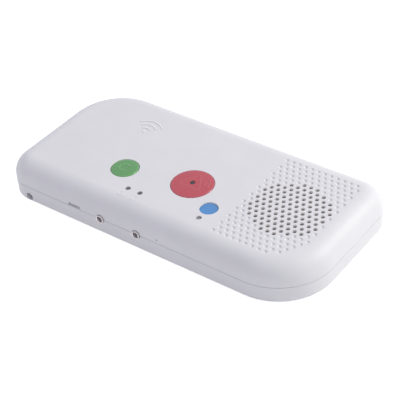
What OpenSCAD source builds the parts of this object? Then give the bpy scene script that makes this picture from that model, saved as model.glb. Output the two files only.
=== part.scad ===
// Room terminal of a nurse call system: a flat two-part case with three push buttons,
// a loudspeaker grille, indicator lenses, two jack sockets and a service socket.
// Lengths in millimetres. X runs along the case, Y to the back, Z up from the feet.

/* [Case] */
// length of the case
body_l = 196.6; // [194:0.2:202]
// depth of the case from front to back
body_w = 94.4; // [93:0.2:98]
// height of the case without the feet
body_h = 23; // [22.8:0.1:24]
// height of the parting line above the underside of the case
split_h = 10.1; // [9.9:0.1:10.3]
// wall thickness of both case halves
wall = 2.2; // [2:0.1:2.3]
// radius of the front right and back left corners
corner_big = 32.7; // [31:0.1:34]
// radius of the front left and back right corners
corner_small = 15.5; // [14.5:0.1:17]
// rounding of the upper edge
top_round = 11.2; // [10.6:0.1:11.4]
// rounding of the lower edge
bottom_round = 1.8; // [1:0.1:2]
// width of the visible groove between the case halves
groove = 0.2; // [0.2:0.1:0.6]
// height of the rubber feet below the case
foot_h = 1; // [0.8:0.1:1.4]

/* [Buttons] */
// diameter of the red call button
call_d = 23.7; // [22:0.1:25]
// diameter of the green cancel button
cancel_d = 15.6; // [14:0.1:17]
// diameter of the blue service button
service_d = 9.6; // [9:0.1:10]
// travel of every button
travel = 0.6; // [0.4:0.05:0.8]
// gap all round each button
button_gap = 0.3; // [0.3:0.05:0.5]

/* [Grille] */
// distance between neighbouring grille holes
pitch = 4; // [3.9:0.05:4.05]
// diameter of the open holes
hole_d = 2.4; // [2:0.1:2.6]
// diameter of the blind dimples
dimple_d = 2.3; // [1.8:0.1:2.4]
// depth of the blind dimples
dimple_depth = 0.7; // [0.3:0.05:0.8]

/* [Sockets] */
// outer diameter of the jack noses
nose_d = 4.7; // [4.6:0.1:5]
// length of the jack noses in front of the case
nose_out = 1; // [0.6:0.1:1.4]
// bore of the jack sockets
jack_bore = 3.6; // [3.5:0.05:3.8]
// width of the service opening
slot_w = 8.4; // [8:0.1:9]
// height of the service opening
slot_h = 2.3; // [2.2:0.1:2.5]
// diameter of the cord inlet
cord_d = 4.7; // [4:0.1:5]

/* [Fixing] */
// distance between the two keyholes for wall screws
keyhole_span = 100; // [96:1:104]
// width of the keyhole slot
keyhole_slot = 4.4; // [4:0.1:5]
// diameter of the keyhole entry
keyhole_entry = 8.4; // [8:0.1:9]

/* [Hidden] */
fine = 96;
board_t = 1.6;
lip_t = 0.7;
lip_h = 1.4;
lip_gap = 0.1;
shell_z = foot_h;
floor_z = shell_z + wall;
split_z = shell_z + split_h;
top_z = shell_z + body_h;
deck_z = top_z - wall;
mid_y = nose_out / 2;
front_y = mid_y - body_w / 2;
back_y = mid_y + body_w / 2;
right_x = body_l / 2;
left_x = -body_l / 2;

// loudspeaker and grille
speaker_r = 25;
speaker_edge = 10.5;
speaker_x = right_x - speaker_r - speaker_edge;
grille_r = 5.4 * pitch;
row = pitch * sqrt(3) / 2;
rows = floor((body_w / 2 - top_round - 1) / row);
clamp_r = speaker_r + 3.5;
clamp_turns = [30, 150, 270];

// buttons, lenses and marks lie at shares of the length and depth, from the middle
call_at = [0.0364 * body_l, mid_y - 0.0999 * body_w];
cancel_at = [-0.1684 * body_l, mid_y - 0.1843 * body_w];
service_at = [0.1365 * body_l, mid_y - 0.2288 * body_w];
call_eye = [-0.6, 0.8];
lens_y = mid_y - 0.3234 * body_w;
lens_at = [[-0.1034 * body_l, lens_y], [-0.0626 * body_l, lens_y], [service_at[0], lens_y]];
lens_hole = 3;
lens_d = 2.9;
lens_low = 0.4;
wave_at = [-0.2334 * body_l, mid_y + 0.1633 * body_w];
mark_sink = 0.8;
wave_up = 0.22;
icon_up = 0.14;
relief_up = 0.12;
ring_off = [-0.4, 0.9];
sign_at = [[-7.2, -3.3], [6.8, -3.3], [-0.3, 8.2]];
sound_at = [2.2, 2];
sound_r = [4, 6.5];

// heights of the button caps against the case top
call_top = top_z + 0.3;
cancel_top = top_z + 0.5;
service_top = top_z - 0.5;
flange_t = 1.2;
flange_over = 1.4;
flange_z = deck_z - 0.1 - flange_t;

// sockets in the front wall; the jacks sit under the board, axis in the parting plane
jack_h = 5;
jack_w = 6.4;
jack_l = 12;
jack_x = [-0.1416 * body_l, -0.0159 * body_l];
nose_gap = 0.2;
nose_lead = 0.5;
ferrule_l = 3.7;
ferrule_back = front_y + ferrule_l;
slot_x = -0.2355 * body_l;
socket_gap = 0.1;
socket_w = slot_w - 0.4;
socket_l = 7.3;
socket_z = split_z + socket_gap;
socket_h = slot_h - 2 * socket_gap;
socket_wall = 0.3;
socket_y = front_y + 0.5;
tongue_w = socket_w - 1.2;
tongue_t = 0.9;
mic_x = 0.0554 * body_l;
mic_z = split_z + 2.3;
mic_y = front_y + 3;
mic_d = 4;
mic_hole = 0.8;

// main board
board_z = split_z + jack_h / 2;
board_top = board_z + board_t;
board_front = front_y + 6.2;
board_back = back_y - 7.2;
board_left = left_x + 20.3;
board_right = speaker_x - speaker_r - 4.8;

// push switches on the board
switch_h = 3.5;
switch_w = 6;
plunger_d = 3.5;
plunger_top = board_top + switch_h + 1.2;
call_switch_dx = 7;

// radio module, antenna and chips
shield = [18, 14, 2.4];
shield_at = [board_left + 12, board_front + 19];
shield_wall = 0.3;
antenna = [32, 24, 0.5];
antenna_at = [wave_at[0] - 16, wave_at[1] - 8];
chip_at = [board_right - 47, board_back - 28];

// screw places
case_boss = [[left_x + 8.3, front_y + 9.2], [right_x - 14.3, front_y + 14.2],
    [right_x - 8.3, back_y - 9.2], [left_x + 14.3, back_y - 14.2]];
board_boss = [[board_left + 4, board_front + 16], [(slot_x + jack_x[0]) / 2 + 0.3, board_front + 5],
    [board_right - 5, board_front + 5], [board_right - 5, board_back - 5],
    [-0.0814 * body_l, board_back - 5], [board_left + 6, board_back - 10]];
foot_x = 0.356 * body_l;
foot_y = 0.381 * body_w;
foot_at = [[-foot_x, mid_y - foot_y], [foot_x, mid_y - foot_y], [foot_x, mid_y + foot_y],
    [-foot_x, mid_y + foot_y]];
foot_d = 10;
foot_in = 0.8;

// cord inlet, its clamp and the terminal block under the board
cord_x = left_x + 17.55;
cord_z = shell_z + 3.35;
guide_l = 8.2;
guide_w = cord_d + 3.2;
clamp_y = front_y + 17;
clamp_w = 5;
clamp_t = 2;
clamp_dx = 6;
post_d = 5;
post_top = cord_z + 1.2;
terminal = [14, 8, 8.5];
terminal_at = [slot_x - 18.5, board_front + 4];

// keyholes
keyhole_y = mid_y + 0.318 * body_w;
keyhole_run = 8;
keyhole_head = 3.6;
keyhole_wall = 1.2;

// battery
battery = [50, 32, 6.4];
battery_at = [-0.183 * body_l, mid_y - 4];
tray_wall = 1.2;

// speaker levels
screen_t = 0.3;
gasket_t = 0.8;
screen_z = deck_z - screen_t;
gasket_z = screen_z - gasket_t;
rim_t = 1;
rim_z = gasket_z - rim_t;
magnet_t = 5;
magnet_d = 28;
magnet_z = rim_z - magnet_t - 6;

// upright round bar from z0 to z1
module rod(x, y, z0, z1, d)
    translate([x, y, z0])
        cylinder(d = d, h = z1 - z0, $fn = fine);

// round bar along Y from y0 to y1
module rod_y(x, z, y0, y1, d)
    translate([x, y0, z])
        rotate([-90, 0, 0])
            cylinder(d = d, h = y1 - y0, $fn = fine);

// box between two corners
module block(a, b)
    translate(a)
        cube(b - a);

// half section of the case edge: axis at the left, rounded upper and lower outer corner
module edge_section(r, h, upper, lower)
    difference() {
        square([r, h]);
        if (upper > 0)
            translate([r - upper, h - upper])
                difference() {
                    square([upper + 1, upper + 1]);
                    circle(r = upper, $fn = fine);
                }
        if (lower > 0)
            translate([r - lower, -1])
                difference() {
                    square([lower + 1, lower + 1]);
                    translate([0, lower + 1])
                        circle(r = lower, $fn = fine);
                }
    }

// case outline moved inwards by inset, standing from z0 to z1, with rounded edges
module case_slab(inset, z0, z1, upper, lower) {
    l = body_l - 2 * inset;
    w = body_w - 2 * inset;
    h = z1 - z0;
    big = corner_big - inset;
    small = corner_small - inset;
    corners = [[l / 2 - big, big - w / 2, big, -90], [l / 2 - small, w / 2 - small, small, 0],
        [big - l / 2, w / 2 - big, big, 90], [small - l / 2, small - w / 2, small, 180]];
    translate([0, mid_y, z0])
        union() {
            for (c = corners)
                translate([c[0], c[1], 0])
                    rotate([0, 0, c[3]])
                        rotate_extrude(angle = 90, $fn = fine)
                            edge_section(c[2], h, upper, lower);
            for (turn = [0, 180])
                rotate([0, 0, turn]) {
                    translate([small - l / 2, big - w / 2, 0])
                        rotate([90, 0, 90])
                            linear_extrude(l - big - small)
                                mirror([1, 0])
                                    edge_section(big, h, upper, lower);
                    translate([l / 2 - big, w / 2 - small, 0])
                        rotate([90, 0, 0])
                            linear_extrude(w - big - small)
                                edge_section(big, h, upper, lower);
                }
            translate([big - l / 2, big - w / 2, 0])
                cube([l - 2 * big, w - 2 * big, h]);
        }
}

// flat ring sector of middle radius r and stroke width s, from angle a to angle b (under 180 apart)
module arc_bar(r, s, a, b, h)
    rotate([0, 0, a])
        rotate_extrude(angle = b - a, $fn = fine)
            translate([r - s / 2, 0])
                square([s, h]);

// straight bar from p to q with round ends
module line_bar(p, q, s, h) {
    run = norm(q - p);
    translate([p[0], p[1], 0])
        rotate([0, 0, atan2(q[1] - p[1], q[0] - p[0])]) {
            translate([0, -s / 2, 0])
                cube([run, s, h]);
            cylinder(d = s, h = h, $fn = fine);
            translate([run, 0, 0])
                cylinder(d = s, h = h, $fn = fine);
        }
}

// last place on a grille row, counted in pitches; the front right corner is rounded off
function row_end(k) =
    k == -rows ? 2 : k == 1 - rows ? 3.5 : k == 2 - rows ? 4 : k == 3 - rows ? 4.5 : k % 2 == 0 ? 5 : 5.5;

// open holes and blind dimples of the grille, as the tools that cut them
module grille_tools()
    for (k = [-rows : rows])
        for (u = [k % 2 == 0 ? -6 : -5.5 : 1 : row_end(k)])
            translate([speaker_x + u * pitch, mid_y + k * row, 0])
                if (norm([u * pitch, k * row]) < grille_r)
                    translate([0, 0, deck_z - 1])
                        cylinder(d = hole_d, h = wall + 2, $fn = 48);
                else {
                    ball = (dimple_d * dimple_d / 4 + dimple_depth * dimple_depth) / (2 * dimple_depth);
                    translate([0, 0, top_z + ball - dimple_depth])
                        sphere(r = ball, $fn = 48);
                }

// raised marks of the case top: radio waves over a dot, and two small icons below the lenses
module raised_marks()
    translate([0, 0, top_z - mark_sink]) {
        translate([wave_at[0], wave_at[1], 0]) {
            cylinder(d = 1.8, h = mark_sink + wave_up, $fn = fine);
            for (r = [3.4, 6.8, 10.4])
                arc_bar(r, 0.9, 43, 139, mark_sink + wave_up);
        }
        translate([lens_at[0][0] - 0.6, lens_at[0][1] - 5.1, 0]) {
            arc_bar(1.6, 0.6, -70, 70, mark_sink + icon_up);
            arc_bar(1.6, 0.6, 110, 250, mark_sink + icon_up);
        }
        translate([lens_at[1][0], lens_at[1][1], 0]) {
            line_bar([-0.1, -6.8], [-1.1, -4.6], 0.6, mark_sink + icon_up);
            line_bar([-0.1, -3.9], [0.9, -3.3], 0.6, mark_sink + icon_up);
            rod(-1.5, -6.6, 0, mark_sink + icon_up, 0.6);
        }
    }

// upper case half: moulded shell with bosses, button holes and grille
module top_cover() color([0.86, 0.86, 0.88])
    union() {
        difference() {
            union() {
                difference() {
                    case_slab(0, shell_z, top_z, top_round, bottom_round);
                    case_slab(wall, floor_z, deck_z, top_round - wall, 0);
                    block([left_x - 1, front_y - 1, 0], [right_x + 1, back_y + 1, split_z + groove / 2]);
                    case_slab(lip_t, split_z, split_z + lip_h, 0, 0);
                }
                intersection() {
                    case_slab(wall / 2, shell_z, top_z - wall / 2, top_round - wall / 2, 0);
                    union() {
                        for (b = case_boss)
                            rod(b[0], b[1], floor_z + 1.3, deck_z + 0.5, 7);
                        for (b = board_boss)
                            rod(b[0], b[1], board_top, deck_z + 0.5, 5.5);
                    }
                }
                for (a = clamp_turns)
                    rod(speaker_x + clamp_r * cos(a), mid_y + clamp_r * sin(a), rim_z, deck_z + 0.5, 5);
                difference() {
                    rod(speaker_x, mid_y, rim_z, deck_z + 0.5, 2 * speaker_r + 2.6);
                    rod(speaker_x, mid_y, rim_z - 1, deck_z, 2 * speaker_r + 0.6);
                }
                block([mic_x - 1.7, front_y + wall - 0.2, split_z + lip_h + 0.1],
                    [mic_x + 1.7, mic_y, mic_z + 1.7]);
            }
            rod(call_at[0], call_at[1], deck_z - 1, top_z + 1, call_d + 2 * button_gap);
            rod(cancel_at[0], cancel_at[1], deck_z - 1, top_z + 1, cancel_d + 2 * button_gap);
            rod(service_at[0], service_at[1], deck_z - 1, top_z + 1, service_d + 2 * button_gap);
            for (p = lens_at)
                rod(p[0], p[1], deck_z - 1, top_z + 1, lens_hole);
            grille_tools();
            for (x = jack_x)
                rod_y(x, split_z, front_y - 1, front_y + wall + 1, nose_d + 2 * nose_gap);
            block([slot_x - slot_w / 2, front_y - 1, split_z - 1],
                [slot_x + slot_w / 2, front_y + wall + 1, split_z + slot_h]);
            rod_y(mic_x, mic_z, front_y - 1, mic_y + 1, mic_hole);
            for (b = case_boss)
                rod(b[0], b[1], floor_z, floor_z + 13, 2.4);
            for (b = board_boss)
                rod(b[0], b[1], board_top - 1, board_top + 5, 1.8);
            for (a = clamp_turns)
                rod(speaker_x + clamp_r * cos(a), mid_y + clamp_r * sin(a), rim_z - 1, deck_z, 1.8);
        }
        raised_marks();
    }

// cuts of one keyhole through the floor: entry for the screw head and slot to hang in
module keyhole_cut(x) {
    rod(x, keyhole_y, shell_z - 1, floor_z + 1, keyhole_entry);
    rod(x, keyhole_y + keyhole_run, shell_z - 1, floor_z + 1, keyhole_slot);
    block([x - keyhole_slot / 2, keyhole_y, shell_z - 1],
        [x + keyhole_slot / 2, keyhole_y + keyhole_run, floor_z + 1]);
}

// lower case half: tray with the cord inlet, keyholes, foot seats, battery frame and screw pads
module rear_cover() color([0.84, 0.84, 0.86])
    difference() {
        union() {
            difference() {
                union() {
                    difference() {
                        case_slab(0, shell_z, top_z, top_round, bottom_round);
                        block([left_x - 1, front_y - 1, split_z - groove / 2],
                            [right_x + 1, back_y + 1, top_z + 1]);
                    }
                    case_slab(lip_t + lip_gap, floor_z, split_z + lip_h, 0, 0);
                }
                case_slab(wall, floor_z, top_z, 0, 0);
            }
            block([cord_x - guide_w / 2, front_y + wall / 2, shell_z + 0.5],
                [cord_x + guide_w / 2, front_y + guide_l, cord_z + guide_w / 2]);
            for (dx = [-clamp_dx, clamp_dx])
                rod(cord_x + dx, clamp_y, shell_z + 0.5, post_top, post_d);
            for (x = [-keyhole_span / 2, keyhole_span / 2])
                block([x - keyhole_entry / 2 - keyhole_wall, keyhole_y - keyhole_entry / 2 - keyhole_wall,
                        shell_z + 0.5],
                    [x + keyhole_entry / 2 + keyhole_wall, keyhole_y + keyhole_run + 3 + keyhole_wall,
                        floor_z + keyhole_head + keyhole_wall]);
            for (b = case_boss)
                rod(b[0], b[1], shell_z + 0.5, floor_z + 1.2, 9);
            difference() {
                block([battery_at[0] - tray_wall - 0.2, battery_at[1] - tray_wall - 0.2, shell_z + 0.5],
                    [battery_at[0] + battery[0] + tray_wall + 0.2,
                        battery_at[1] + battery[1] + tray_wall + 0.2, floor_z + 4]);
                block([battery_at[0] - 0.2, battery_at[1] - 0.2, floor_z],
                    [battery_at[0] + battery[0] + 0.2, battery_at[1] + battery[1] + 0.2, floor_z + 5]);
            }
        }
        rod_y(cord_x, cord_z, front_y - 1, front_y + guide_l + 1, cord_d);
        for (dx = [-clamp_dx, clamp_dx])
            rod(cord_x + dx, clamp_y, floor_z, post_top + 1, 1.8);
        for (x = [-keyhole_span / 2, keyhole_span / 2]) {
            keyhole_cut(x);
            block([x - keyhole_entry / 2, keyhole_y - keyhole_entry / 2, floor_z],
                [x + keyhole_entry / 2, keyhole_y + keyhole_run + 3, floor_z + keyhole_head]);
        }
        for (b = case_boss) {
            rod(b[0], b[1], shell_z - 1, floor_z - 0.2, 6.2);
            rod(b[0], b[1], shell_z - 1, floor_z + 3, 3.4);
        }
        for (p = foot_at)
            rod(p[0], p[1], shell_z - 1, shell_z + foot_in, foot_d);
        for (x = jack_x)
            rod_y(x, split_z, front_y - 1, front_y + wall + 1, nose_d + 2 * nose_gap);
        block([slot_x - slot_w / 2, front_y - 1, split_z],
            [slot_x + slot_w / 2, front_y + wall + 1, split_z + 3]);
    }

// round cap with a rounded rim, a retaining flange and a hollow underside
module cap(at, d, top, rim)
    translate([at[0], at[1], 0])
        difference() {
            union() {
                rotate_extrude($fn = fine)
                    translate([0, flange_z])
                        edge_section(d / 2, top - flange_z, rim, 0);
                translate([0, 0, flange_z])
                    cylinder(d = d + 2 * flange_over, h = flange_t, $fn = fine);
            }
            translate([0, 0, flange_z - 1])
                cylinder(d = d - 3, h = top - flange_z - 0.6, $fn = fine);
        }

// post under a cap that bears on a switch plunger
module cap_post(at, top)
    rod(at[0], at[1], plunger_top, top - 1, 3.4);

// red call button with a raised triangle, sound waves and a hole for its lens
module call_button() color([0.72, 0.30, 0.35])
    difference() {
        union() {
            cap(call_at, call_d, call_top, 0.6);
            for (dx = [-call_switch_dx, call_switch_dx])
                cap_post([call_at[0] + dx, call_at[1]], call_top);
            rod(call_at[0] + call_eye[0], call_at[1] + call_eye[1], flange_z, call_top - 1, 5);
            translate([call_at[0], call_at[1], call_top - 0.3]) {
                for (i = [0:2])
                    line_bar(sign_at[i], sign_at[(i + 1) % 3], 0.6, 0.3 + relief_up);
                for (r = sound_r)
                    translate([sound_at[0], sound_at[1], 0])
                        arc_bar(r, 0.6, -10, 55, 0.3 + relief_up);
            }
        }
        rod(call_at[0] + call_eye[0], call_at[1] + call_eye[1], flange_z - 1, top_z + 1, lens_d);
    }

// green cancel button with a raised open ring
module cancel_button() color([0.42, 0.64, 0.42])
    union() {
        cap(cancel_at, cancel_d, cancel_top, 0.9);
        cap_post(cancel_at, cancel_top);
        translate([cancel_at[0] + ring_off[0], cancel_at[1] + ring_off[1], cancel_top - 0.3]) {
            difference() {
                cylinder(r = 3.3, h = 0.3 + relief_up, $fn = fine);
                translate([0, 0, -1])
                    cylinder(r = 2.5, h = 3, $fn = fine);
                translate([0, 0, -1])
                    linear_extrude(3)
                        polygon([[0, 0], [5, -3], [5, 3]]);
            }
        }
    }

// blue service button, plain and set below the case top
module service_button() color([0.36, 0.57, 0.82])
    union() {
        cap(service_at, service_d, service_top, 0.4);
        cap_post(service_at, service_top);
    }

// smoked lens pressed into the call button
module call_lens() color([0.30, 0.22, 0.25])
    rod(call_at[0] + call_eye[0], call_at[1] + call_eye[1], flange_z - 0.4, call_top - 0.5, lens_d);

// three light guides with a collar under the case top
module status_lenses() color([0.30, 0.30, 0.32])
    for (p = lens_at) {
        rod(p[0], p[1], board_top + 0.9, top_z - lens_low, lens_d);
        rod(p[0], p[1], deck_z - 1, deck_z, lens_d + 1.4);
    }

// four chip LEDs on the board
module indicator_leds() color([0.95, 0.93, 0.80])
    for (p = concat(lens_at, [[call_at[0] + call_eye[0], call_at[1] + call_eye[1]]]))
        block([p[0] - 1, p[1] - 0.7, board_top], [p[0] + 1, p[1] + 0.7, board_top + 0.7]);

// plunger of a push switch
module plunger(x, y)
    rod(x, y, board_top + 1.2 + travel, plunger_top, plunger_d);

// the pair of plungers under the call button
module call_plungers() color([0.15, 0.15, 0.16])
    for (dx = [-call_switch_dx, call_switch_dx])
        plunger(call_at[0] + dx, call_at[1]);

// plunger under the cancel button
module cancel_plunger() color([0.15, 0.15, 0.16])
    plunger(cancel_at[0], cancel_at[1]);

// plunger under the service button
module service_plunger() color([0.15, 0.15, 0.16])
    plunger(service_at[0], service_at[1]);

// square housings of the four push switches
module switch_bodies() color([0.2, 0.2, 0.21])
    for (p = [[call_at[0] - call_switch_dx, call_at[1]], [call_at[0] + call_switch_dx, call_at[1]],
            cancel_at, service_at])
        difference() {
            block([p[0] - switch_w / 2, p[1] - switch_w / 2, board_top],
                [p[0] + switch_w / 2, p[1] + switch_w / 2, board_top + switch_h]);
            rod(p[0], p[1], board_top + 1, board_top + switch_h + 1, plunger_d + 0.7);
        }

// main circuit board with its screw holes
module main_board() color([0.10, 0.38, 0.22])
    difference() {
        intersection() {
            block([board_left, board_front, board_z], [board_right, board_back, board_top]);
            case_slab(wall + 2, board_z - 1, board_top + 1, 0, 0);
        }
        for (b = board_boss)
            rod(b[0], b[1], board_z - 1, board_top + 1, 2.6);
    }

// processor, memory and sound chips
module board_chips() color([0.12, 0.12, 0.13])
    translate([chip_at[0], chip_at[1], board_top]) {
        cube([12, 12, 1.2]);
        translate([18, 2, 0])
            cube([6, 8, 1]);
        translate([30, -6, 0])
            cube([8, 5, 1.5]);
    }

// metal can over the radio module
module radio_shield() color([0.75, 0.75, 0.77])
    translate([shield_at[0], shield_at[1], board_top])
        difference() {
            cube(shield);
            translate([shield_wall, shield_wall, -1])
                cube([shield[0] - 2 * shield_wall, shield[1] - 2 * shield_wall,
                    shield[2] - shield_wall + 1]);
        }

// flat antenna board glued behind the wave mark
module nfc_antenna() color([0.70, 0.45, 0.20])
    translate([antenna_at[0], antenna_at[1], deck_z - antenna[2]])
        cube(antenna);

// spring pins from the board up to the antenna
module antenna_pins() color([0.80, 0.68, 0.35])
    for (dx = [13, 19])
        rod(antenna_at[0] + dx, antenna_at[1] + 3, board_top, deck_z - antenna[2], 1.6);

// woven dust screen behind the grille
module speaker_screen() color([0.10, 0.10, 0.10])
    rod(speaker_x, mid_y, screen_z, deck_z, 2 * speaker_r - 3);

// foam ring between screen and loudspeaker
module speaker_gasket() color([0.16, 0.16, 0.16])
    difference() {
        rod(speaker_x, mid_y, gasket_z, screen_z, 2 * speaker_r);
        rod(speaker_x, mid_y, gasket_z - 1, screen_z + 1, 2 * speaker_r - 6);
    }

// pressed steel frame: rim, sloping basket and back plate
module speaker_frame() color([0.62, 0.63, 0.65])
    translate([speaker_x, mid_y, 0])
        rotate_extrude($fn = fine)
            polygon([[speaker_r, gasket_z], [speaker_r, rim_z], [speaker_r - 2.6, rim_z],
                [magnet_d / 2 + 1, magnet_z + magnet_t + 1], [magnet_d / 2 + 1, magnet_z + magnet_t],
                [4, magnet_z + magnet_t], [4, magnet_z + magnet_t + 1],
                [magnet_d / 2 - 0.1, magnet_z + magnet_t + 1], [speaker_r - 3.4, rim_z + 0.2],
                [speaker_r - 3.4, gasket_z]]);

// paper cone with dust cap and rolled edge
module speaker_cone() color([0.20, 0.19, 0.18])
    translate([speaker_x, mid_y, 0])
        rotate_extrude($fn = fine)
            polygon([[0, rim_z - 2.2], [3.5, rim_z - 2.5], [6.4, rim_z - 3.6], [8, rim_z - 4.4],
                [speaker_r - 6.5, rim_z - 0.3], [speaker_r - 3.4, rim_z + 0.4],
                [speaker_r - 3.4, rim_z + 0.8], [speaker_r - 6.6, rim_z + 0.3], [7.8, rim_z - 3.8],
                [6.3, rim_z - 3], [3.4, rim_z - 1.9], [0, rim_z - 1.6]]);

// ring magnet with its closing plate
module speaker_magnet() color([0.25, 0.25, 0.26])
    rod(speaker_x, mid_y, magnet_z, magnet_z + magnet_t, magnet_d);

// two flat strips from the board to the loudspeaker frame
module speaker_tags() color([0.80, 0.68, 0.35])
    for (y = [mid_y - 5, mid_y + 3])
        block([board_right - 5, y, board_top], [speaker_x - magnet_d / 2 - 2.2, y + 2, board_top + 0.3]);

// pan head screw, head below, thread upwards
module screw_up(x, y, z, head_d, head_h, thread_d, run) {
    rod(x, y, z - head_h, z, head_d);
    rod(x, y, z - 0.2, z + run, thread_d);
}

// three wide-headed screws that clamp the loudspeaker rim
module speaker_screws() color([0.70, 0.70, 0.72])
    for (a = clamp_turns)
        difference() {
            screw_up(speaker_x + clamp_r * cos(a), mid_y + clamp_r * sin(a), rim_z, 8.2, 1.4, 1.8, 2);
            rod(speaker_x + clamp_r * cos(a), mid_y + clamp_r * sin(a), rim_z - 2, rim_z - 0.7, 2.4);
        }

// plastic bodies of the two jack sockets
module jack_bodies() color([0.10, 0.10, 0.11])
    for (x = jack_x)
        difference() {
            block([x - jack_w / 2, ferrule_back, board_z - jack_h],
                [x + jack_w / 2, ferrule_back + jack_l, board_z]);
            rod_y(x, split_z, ferrule_back - 1, ferrule_back + jack_l - 1.7, jack_bore);
        }

// nickel ferrules: a nose that stands out of the case front, with a flange behind the wall
module jack_ferrules() color([0.80, 0.79, 0.76])
    for (x = jack_x)
        difference() {
            union() {
                rod_y(x, split_z, front_y - nose_out, ferrule_back, nose_d);
                rod_y(x, split_z, front_y + wall + 0.3, ferrule_back, jack_w - 0.4);
            }
            rod_y(x, split_z, front_y - nose_out - 1, ferrule_back + 1, jack_bore);
            translate([x, front_y - nose_out, split_z])
                rotate([-90, 0, 0])
                    cylinder(d1 = jack_bore + 0.6, d2 = jack_bore, h = nose_lead, $fn = fine);
        }

// folded steel shell of the service socket, soldered to the board by its back
module service_socket() color([0.68, 0.68, 0.70])
    difference() {
        union() {
            block([slot_x - socket_w / 2, socket_y, socket_z],
                [slot_x + socket_w / 2, socket_y + socket_l, socket_z + socket_h]);
            block([slot_x - 2.5, board_front + 0.3, socket_z + socket_h / 2],
                [slot_x + 2.5, socket_y + socket_l, board_z]);
        }
        block([slot_x - socket_w / 2 + socket_wall, socket_y - 1, socket_z + socket_wall],
            [slot_x + socket_w / 2 - socket_wall, socket_y + socket_l - socket_wall,
                socket_z + socket_h - socket_wall]);
    }

// insulating tongue inside the service socket
module socket_tongue() color([0.80, 0.80, 0.78])
    block([slot_x - tongue_w / 2, socket_y + 0.15, socket_z + (socket_h - tongue_t) / 2],
        [slot_x + tongue_w / 2, socket_y + socket_l - socket_wall, socket_z + (socket_h + tongue_t) / 2]);

// microphone capsule
module microphone() color([0.72, 0.72, 0.74])
    rod_y(mic_x, mic_z, mic_y + 0.6, mic_y + 2.6, mic_d);

// rubber boot that holds the capsule against the pinhole
module microphone_boot() color([0.13, 0.13, 0.14])
    difference() {
        rod_y(mic_x, mic_z, mic_y, mic_y + 2.6, mic_d + 1.2);
        rod_y(mic_x, mic_z, mic_y + 0.6, mic_y + 3, mic_d);
        rod_y(mic_x, mic_z, mic_y - 1, mic_y + 1, 1);
    }

// flat rechargeable battery pack in its tray
module backup_battery() color([0.24, 0.36, 0.60])
    block([battery_at[0], battery_at[1], floor_z],
        [battery_at[0] + battery[0], battery_at[1] + battery[1], floor_z + battery[2]]);

// spring pins from the board down to the battery
module battery_pins() color([0.80, 0.68, 0.35])
    for (dy = [8, 14])
        rod(battery_at[0] + battery[0] - 4, battery_at[1] + dy, floor_z + battery[2], board_z, 2);

// terminal block for the line wires under the board, with wire holes towards the inlet
module line_terminal() color([0.35, 0.36, 0.37])
    difference() {
        block([terminal_at[0], terminal_at[1], board_z - terminal[2]],
            [terminal_at[0] + terminal[0], terminal_at[1] + terminal[1], board_z]);
        for (k = [0 : 3]) {
            rod_y(terminal_at[0] + 1.75 + 3.5 * k, board_z - 3.4, terminal_at[1] - 1, terminal_at[1] + 5, 2);
            rod(terminal_at[0] + 1.75 + 3.5 * k, terminal_at[1] + 4, board_z - terminal[2] - 1,
                board_z - 3.4, 2.6);
        }
    }

// clamping screws of the terminal block
module terminal_screws() color([0.70, 0.70, 0.72])
    for (k = [0 : 3])
        rod(terminal_at[0] + 1.75 + 3.5 * k, terminal_at[1] + 4, board_z - terminal[2] + 0.6,
            board_z - 4.4, 2.6);

// saddle that holds the cord down behind the inlet
module cord_clamp() color([0.15, 0.15, 0.16])
    difference() {
        block([cord_x - clamp_dx - 2.5, clamp_y - clamp_w / 2, post_top],
            [cord_x + clamp_dx + 2.5, clamp_y + clamp_w / 2, post_top + clamp_t + 1]);
        rod_y(cord_x, cord_z, clamp_y - clamp_w, clamp_y + clamp_w, cord_d - 0.3);
        for (dx = [-clamp_dx, clamp_dx])
            rod(cord_x + dx, clamp_y, post_top - 1, post_top + clamp_t + 2, 2.6);
    }

// two screws of the cord clamp, driven from above
module clamp_screws() color([0.70, 0.70, 0.72])
    for (dx = [-clamp_dx, clamp_dx])
        translate([cord_x + dx, clamp_y, post_top + clamp_t + 1])
            difference() {
                union() {
                    cylinder(d = 4.4, h = 1.4, $fn = fine);
                    translate([0, 0, -clamp_t - 2])
                        cylinder(d = 1.8, h = clamp_t + 2.2, $fn = fine);
                }
                translate([0, 0, 0.7])
                    cylinder(d = 1.8, h = 2, $fn = fine);
            }

// four screws that hold the case halves together, driven from below
module case_screws() color([0.66, 0.66, 0.68])
    for (b = case_boss)
        difference() {
            screw_up(b[0], b[1], floor_z - 0.2, 5.6, 1.6, 2.4, 9);
            rod(b[0], b[1], shell_z - 1, floor_z - 0.9, 2.4);
        }

// six screws that hold the board to the upper case half
module board_screws() color([0.70, 0.70, 0.72])
    for (b = board_boss)
        difference() {
            screw_up(b[0], b[1], board_z, 4.6, 1.4, 1.8, 5);
            rod(b[0], b[1], board_z - 2, board_z - 0.7, 1.8);
        }

// four soft feet glued in shallow seats
module rubber_feet() color([0.16, 0.16, 0.17])
    for (p = foot_at)
        rod(p[0], p[1], 0, shell_z + foot_in, foot_d);

top_cover();
rear_cover();
call_button();
cancel_button();
service_button();
call_lens();
status_lenses();
indicator_leds();
call_plungers();
cancel_plunger();
service_plunger();
switch_bodies();
main_board();
board_chips();
radio_shield();
nfc_antenna();
antenna_pins();
speaker_screen();
speaker_gasket();
speaker_frame();
speaker_cone();
speaker_magnet();
speaker_tags();
speaker_screws();
jack_bodies();
jack_ferrules();
service_socket();
socket_tongue();
microphone();
microphone_boot();
backup_battery();
battery_pins();
line_terminal();
terminal_screws();
cord_clamp();
clamp_screws();
case_screws();
board_screws();
rubber_feet();
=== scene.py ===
import math

import bmesh
import bpy
from mathutils import Matrix, Vector


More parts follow.
